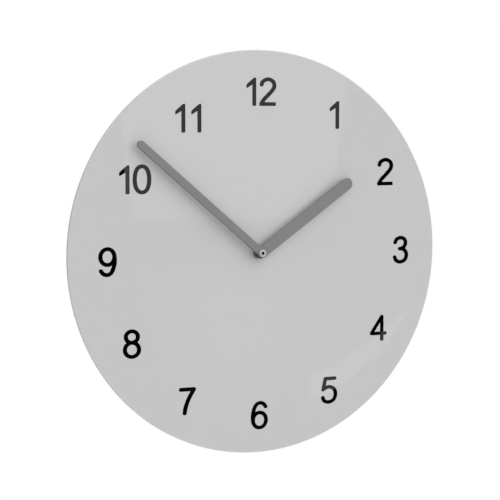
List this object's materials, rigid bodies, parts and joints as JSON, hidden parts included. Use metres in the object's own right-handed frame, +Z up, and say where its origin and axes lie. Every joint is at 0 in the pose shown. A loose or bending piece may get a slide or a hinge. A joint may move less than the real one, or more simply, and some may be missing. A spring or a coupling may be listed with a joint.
{
  "type": "wall clock",
  "caption": "Frameless round glass wall clock: two straight round-ended hands on a back-painted disc, driven by a quartz movement bonded behind it.",
  "frame": {"origin": "where the hands' axis meets the wall plane, at the centre of the movement's rear cover", "axes": "+Y into the wall, -Y out of the dial towards the room, +Z up to 12 o'clock, +X to 3 o'clock"},
  "size_m": [0.3, 0.029, 0.3],
  "materials": {
    "dial_glass": "polished float glass, opaque pale grey lacquer behind it, ground edge",
    "foam": "closed-cell foam tape",
    "hand_grey": "satin grey paint on aluminium",
    "black_hub": "moulded black",
    "bright_nut": "bright nickel plate",
    "black_case": "fine spark-eroded moulding texture",
    "screw_steel": "zinc plated",
    "plate_steel": "rolled sheet",
    "brass": "turned",
    "white_acetal": "moulded acetal",
    "magnet": "sintered ferrite",
    "knob": "ridged moulding",
    "copper": "enamelled fine wire, wound",
    "circuit_board": "green solder mask",
    "contact_brass": "nickel plated spring strip",
    "battery_sleeve": "printed sleeve, two plain bands, no text"
  },
  "bodies": {
    "case": {"dial_glass": "dial_glass", "mounting_pad": "foam", "front_case": "black_case", "rear_cover": "black_case", "cover_screw_1": "screw_steel", "cover_screw_2": "screw_steel", "cover_screw_3": "screw_steel", "cover_screw_4": "screw_steel", "hanger_plate": "plate_steel", "hanger_screw_left": "screw_steel", "hanger_screw_right": "screw_steel", "threaded_bush": "brass", "gear_plate": "white_acetal", "stator_plate_lower": "plate_steel", "stator_plate_upper": "plate_steel", "coil_core": "plate_steel", "coil_bobbin": "white_acetal", "coil_winding": "copper", "circuit_board": "circuit_board", "chip_cover": "black_hub", "quartz_crystal": "plate_steel", "contact_positive": "contact_brass", "contact_negative": "contact_brass", "battery_spring": "screw_steel"},
    "minute_hand": {"minute_hand_blade": "hand_grey", "minute_hand_collet": "brass", "minute_hand_nut": "bright_nut", "cannon_pinion": "black_hub"},
    "hour_hand": {"hour_hand_blade": "hand_grey", "hour_hand_hub": "black_hub", "hour_wheel": "white_acetal"},
    "motion_wheel": {"motion_wheel": "white_acetal"},
    "set_knob": {"set_knob": "knob", "set_stem": "white_acetal"},
    "seconds_wheel": {"seconds_wheel": "white_acetal", "seconds_arbor": "screw_steel"},
    "third_wheel": {"third_wheel": "white_acetal"},
    "centre_wheel": {"centre_wheel": "white_acetal", "clutch_spring": "brass"},
    "intermediate_wheel": {"intermediate_wheel": "white_acetal"},
    "rotor": {"rotor_pinion": "white_acetal", "rotor_magnet": "magnet"},
    "battery": {"battery_can": "battery_sleeve", "battery_positive_cap": "plate_steel", "battery_negative_disc": "plate_steel"}
  },
  "joints": [
    {"name": "minute_hand_turn", "type": "hinge", "parent": "case", "child": "minute_hand", "pos_m": [0, -0.027, 0], "axis": [0, 1, 0], "continuous": true},
    {"name": "hour_hand_turn", "type": "hinge", "parent": "case", "child": "hour_hand", "pos_m": [0, -0.025, 0], "axis": [0, 1, 0], "continuous": true},
    {"name": "motion_wheel_turn", "type": "hinge", "parent": "case", "child": "motion_wheel", "pos_m": [-0.00709, -0.0115, -0.00125], "axis": [0, 1, 0], "continuous": true},
    {"name": "set_knob_turn", "type": "hinge", "parent": "case", "child": "set_knob", "pos_m": [-0.01453, -0.002, -0.00396], "axis": [0, 1, 0], "continuous": true},
    {"name": "seconds_wheel_turn", "type": "hinge", "parent": "case", "child": "seconds_wheel", "pos_m": [0, -0.003, 0], "axis": [0, 1, 0], "continuous": true},
    {"name": "third_wheel_turn", "type": "hinge", "parent": "case", "child": "third_wheel", "pos_m": [-0.00431, -0.0048, 0.00924], "axis": [0, 1, 0], "continuous": true},
    {"name": "centre_wheel_turn", "type": "hinge", "parent": "case", "child": "centre_wheel", "pos_m": [0, -0.0101, 0], "axis": [0, 1, 0], "continuous": true},
    {"name": "intermediate_wheel_turn", "type": "hinge", "parent": "case", "child": "intermediate_wheel", "pos_m": [0.00695, -0.0064, 0.00186], "axis": [0, 1, 0], "continuous": true},
    {"name": "rotor_turn", "type": "hinge", "parent": "case", "child": "rotor", "pos_m": [0.01302, -0.004, 0.00536], "axis": [0, 1, 0], "continuous": true},
    {"name": "battery_removal", "type": "slide", "parent": "case", "child": "battery", "axis": [0, 1, 0], "range_m": [0, 0.02]}
  ],
  "couplings": [
    {"joint": "hour_hand_turn", "follows": "minute_hand_turn", "ratio": 0.083333},
    {"joint": "motion_wheel_turn", "follows": "minute_hand_turn", "ratio": -0.33333},
    {"joint": "set_knob_turn", "follows": "minute_hand_turn", "ratio": 0.71429},
    {"joint": "third_wheel_turn", "follows": "seconds_wheel_turn", "ratio": -0.125},
    {"joint": "centre_wheel_turn", "follows": "seconds_wheel_turn", "ratio": 0.016667},
    {"joint": "intermediate_wheel_turn", "follows": "seconds_wheel_turn", "ratio": -5},
    {"joint": "rotor_turn", "follows": "seconds_wheel_turn", "ratio": 30}
  ]
}
